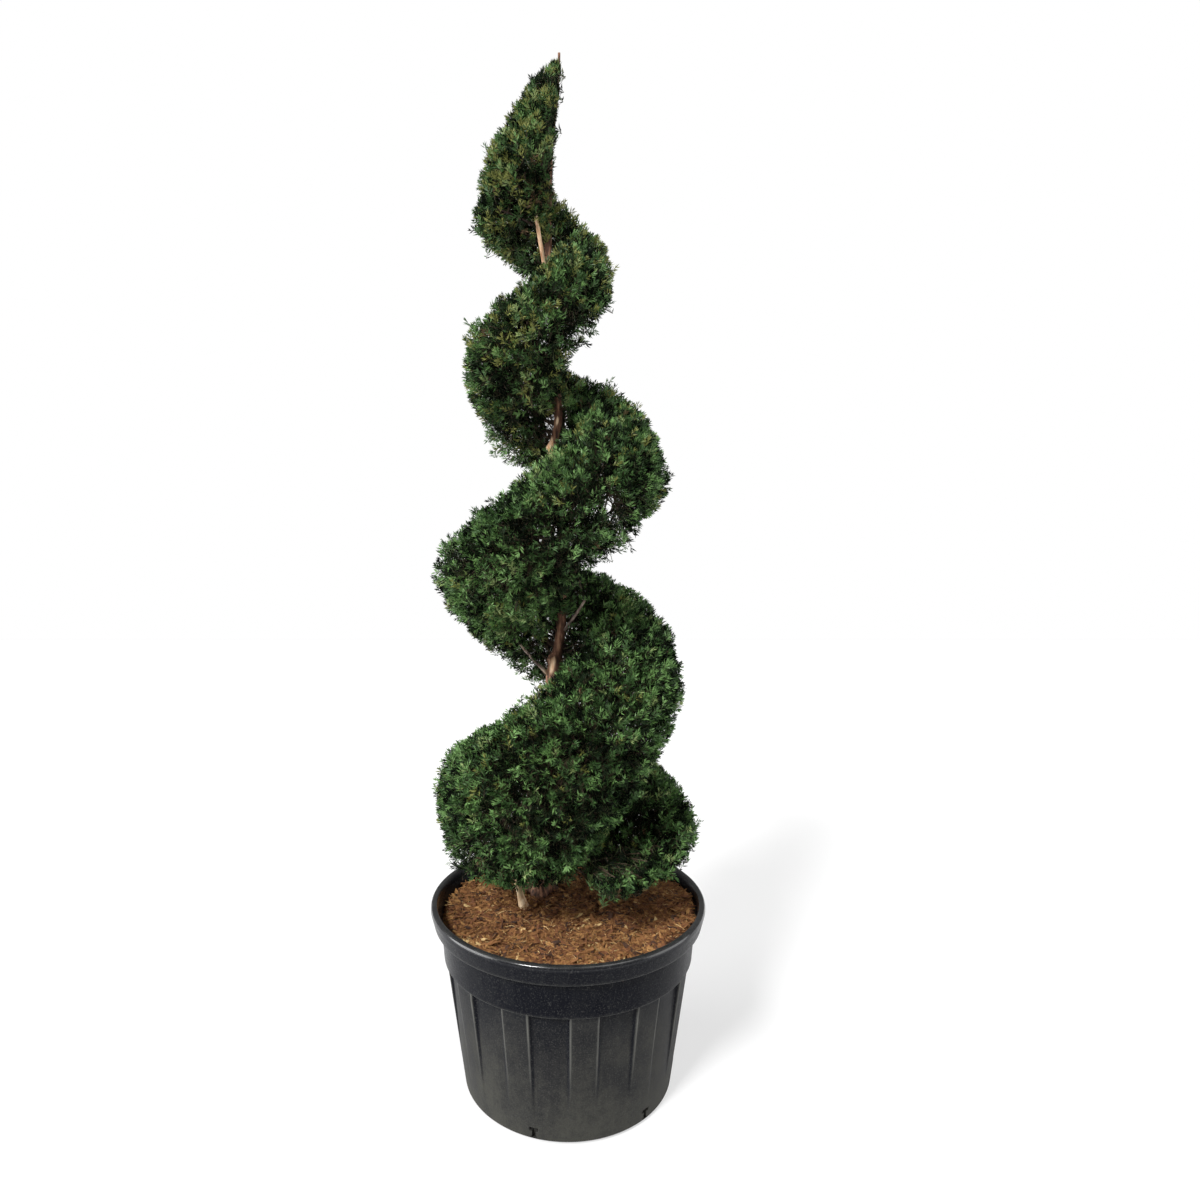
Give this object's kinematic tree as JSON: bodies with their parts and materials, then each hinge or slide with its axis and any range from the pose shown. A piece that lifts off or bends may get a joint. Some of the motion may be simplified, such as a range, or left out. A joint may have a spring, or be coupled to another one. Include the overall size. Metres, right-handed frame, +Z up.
{
  "type": "spiral topiary yew in a nursery pot",
  "caption": "Clipped evergreen topiary that rises in a spiral round its bare trunk, standing in a round black plastic nursery pot filled with mulch.",
  "frame": {"origin": "middle of the pot's flat underside", "axes": "+Z up along the plant, +X to the right and -Y to the front as the plant is shown"},
  "size_m": [0.676, 0.676, 2.48],
  "materials": {
    "pot_plastic": "dusty black moulded plastic, satin on the rim",
    "mulch": "rough chipped bark and coir",
    "bark": "flaky red-brown bark with pale peeled patches",
    "dead_wood": "weathered bare wood",
    "foliage": "short dark green needles in clipped sprays, olive at their tips"
  },
  "bodies": {
    "root": {"pot": "pot_plastic", "soil": "mulch", "trunk": "bark", "bough_top": "bark", "bough_left": "bark", "bough_right": "bark", "low_stub": "dead_wood", "foliage_0_front_right": "foliage", "foliage_1_back_right": "foliage", "foliage_1_back_left": "foliage", "foliage_1_front_left": "foliage", "foliage_1_front_right": "foliage", "foliage_2_back_right": "foliage", "foliage_2_back_left": "foliage", "foliage_2_front_left": "foliage", "foliage_2_front_right": "foliage", "foliage_3_back_right": "foliage", "foliage_3_back_left": "foliage", "foliage_3_front_left": "foliage", "foliage_3_front_right": "foliage", "foliage_4_back_right": "foliage", "foliage_4_back_left": "foliage", "foliage_4_front_left": "foliage"}
  },
  "joints": []
}
